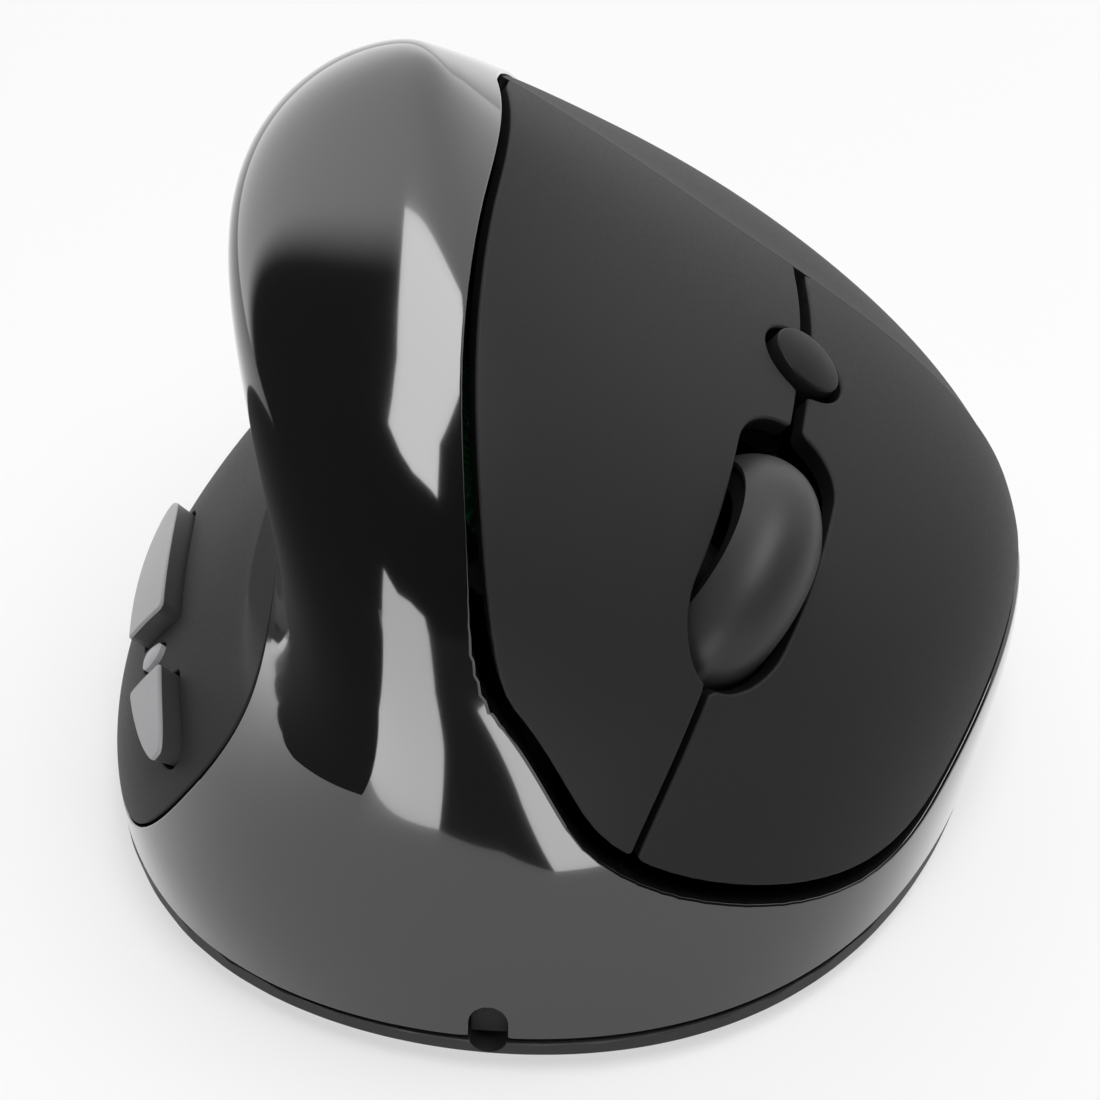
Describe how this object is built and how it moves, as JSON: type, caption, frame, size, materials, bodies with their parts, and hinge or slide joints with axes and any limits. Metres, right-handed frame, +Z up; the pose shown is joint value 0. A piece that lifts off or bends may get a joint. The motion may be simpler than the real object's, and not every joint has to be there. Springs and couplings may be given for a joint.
{
  "type": "vertical ergonomic computer mouse",
  "caption": "Left-hand vertical mouse with a tall glossy cap, sloping soft-touch click keys, slanted scroll wheel, round speed button and thumb side buttons.",
  "frame": {"origin": "on the desk, under the middle of the mouse", "axes": "+Y from the front to the palm end, +X to the finger side, +Z up from the desk"},
  "size_m": [0.0822, 0.1105, 0.0705],
  "materials": {
    "gloss_body": "piano gloss",
    "soft_panel": "soft touch matte",
    "thumb_panel": "soft touch matte",
    "base": "fine matte",
    "button": "satin",
    "speed_button": "satin",
    "lens": "frosted",
    "black_trim": "matte",
    "foot": "slick",
    "receiver": "satin",
    "slider": "satin",
    "switch_case": "matte",
    "cell": "printed foil without marks",
    "metal": "plated",
    "circuit_board": "solder mask",
    "sensor_lens": "clear",
    "frame": "matte",
    "hub": "matte",
    "tyre": "smooth satin",
    "plunger": "satin"
  },
  "bodies": {
    "body": {"main_shell": "gloss_body", "bottom_cover": "base", "palm_cover": "soft_panel", "thumb_panel": "thumb_panel", "status_lens": "lens", "outlet_plug": "black_trim", "glide_feet": "foot", "power_switch": "switch_case", "battery": "cell", "front_contact": "metal", "rear_contact": "metal", "main_board": "circuit_board", "sensor_chip": "switch_case", "sensor_lens": "sensor_lens", "inner_frame": "frame", "button_board": "circuit_board", "thumb_board": "circuit_board", "wheel_emitter": "switch_case", "wheel_detector": "switch_case", "dpi_guide": "frame", "upper_switch": "switch_case", "lower_switch": "switch_case", "middle_switch": "switch_case", "dpi_switch": "switch_case", "forward_switch": "switch_case", "back_switch": "switch_case", "shell_screws": "metal", "frame_screws": "metal", "board_screws": "metal"},
    "upper_key": {"upper_key": "soft_panel"},
    "lower_key": {"lower_key": "soft_panel"},
    "wheel_fork": {"wheel_rocker": "frame"},
    "wheel": {"wheel_hub": "hub", "wheel_tyre": "tyre"},
    "dpi_button": {"dpi_button": "speed_button"},
    "forward_button": {"forward_button": "button"},
    "back_button": {"back_button": "button"},
    "power_slider": {"power_slider": "slider"},
    "battery_door": {"battery_door": "base"},
    "usb_receiver": {"usb_receiver": "receiver"},
    "upper_plunger": {"upper_plunger": "plunger"},
    "lower_plunger": {"lower_plunger": "plunger"},
    "middle_plunger": {"middle_plunger": "plunger"},
    "dpi_plunger": {"dpi_plunger": "plunger"},
    "forward_plunger": {"forward_plunger": "plunger"},
    "back_plunger": {"back_plunger": "plunger"}
  },
  "joints": [
    {"name": "upper_press", "type": "hinge", "parent": "body", "child": "upper_key", "pos_m": [0.02764, 0.007, 0.03294], "axis": [0.766, 0, -0.6428], "range_deg": [0, 1.2], "stiffness_Nm_per_rad": 0.9, "springref_deg": -0.57},
    {"name": "lower_press", "type": "hinge", "parent": "body", "child": "lower_key", "pos_m": [0.02764, 0.007, 0.03294], "axis": [0.766, 0, -0.6428], "range_deg": [0, 1.2], "stiffness_Nm_per_rad": 0.9, "springref_deg": -0.57},
    {"name": "wheel_press", "type": "hinge", "parent": "body", "child": "wheel_fork", "pos_m": [0.01363, -0.01511, 0.03412], "axis": [0.7656, 0.0349, -0.6424], "range_deg": [0, 2], "stiffness_Nm_per_rad": 0.4, "springref_deg": -1.15},
    {"name": "wheel_spin", "type": "hinge", "parent": "wheel_fork", "child": "wheel", "pos_m": [0.01401, -0.0293, 0.03381], "axis": [0.7656, 0.0349, -0.6424], "continuous": true},
    {"name": "dpi_press", "type": "slide", "parent": "body", "child": "dpi_button", "axis": [-0.6428, 0, -0.766], "range_m": [0, 0.0006], "stiffness_N_per_m": 2000, "springref_m": -0.0003},
    {"name": "forward_press", "type": "slide", "parent": "body", "child": "forward_button", "axis": [0.7986, 0, -0.6018], "range_m": [0, 0.0006], "stiffness_N_per_m": 2000, "springref_m": -0.0003},
    {"name": "back_press", "type": "slide", "parent": "body", "child": "back_button", "axis": [0.7986, 0, -0.6018], "range_m": [0, 0.0006], "stiffness_N_per_m": 2000, "springref_m": -0.0003},
    {"name": "power_slide", "type": "slide", "parent": "body", "child": "power_slider", "axis": [0, 1, 0], "range_m": [0, 0.003]},
    {"name": "door_slide", "type": "slide", "parent": "body", "child": "battery_door", "axis": [0, 1, 0], "range_m": [0, 0.03]},
    {"name": "receiver_slide", "type": "slide", "parent": "body", "child": "usb_receiver", "axis": [0, 0, -1], "range_m": [0, 0.018]},
    {"name": "upper_click", "type": "slide", "parent": "body", "child": "upper_plunger", "axis": [-0.6428, 0, -0.766], "range_m": [0, 0.0007]},
    {"name": "lower_click", "type": "slide", "parent": "body", "child": "lower_plunger", "axis": [-0.6428, 0, -0.766], "range_m": [0, 0.0006]},
    {"name": "middle_click", "type": "slide", "parent": "body", "child": "middle_plunger", "axis": [-0.6428, 0, -0.766], "range_m": [0, 0.0005]},
    {"name": "dpi_click", "type": "slide", "parent": "body", "child": "dpi_plunger", "axis": [-0.6428, 0, -0.766], "range_m": [0, 0.0006]},
    {"name": "forward_click", "type": "slide", "parent": "body", "child": "forward_plunger", "axis": [0.7986, 0, -0.6018], "range_m": [0, 0.0006]},
    {"name": "back_click", "type": "slide", "parent": "body", "child": "back_plunger", "axis": [0.7986, 0, -0.6018], "range_m": [0, 0.0006]}
  ],
  "couplings": [
    {"joint": "upper_click", "follows": "upper_press", "m_per_rad": 0.033},
    {"joint": "lower_click", "follows": "lower_press", "m_per_rad": 0.028},
    {"joint": "middle_click", "follows": "wheel_press", "m_per_rad": 0.0142},
    {"joint": "dpi_click", "follows": "dpi_press", "ratio": 1},
    {"joint": "forward_click", "follows": "forward_press", "ratio": 1},
    {"joint": "back_click", "follows": "back_press", "ratio": 1}
  ]
}
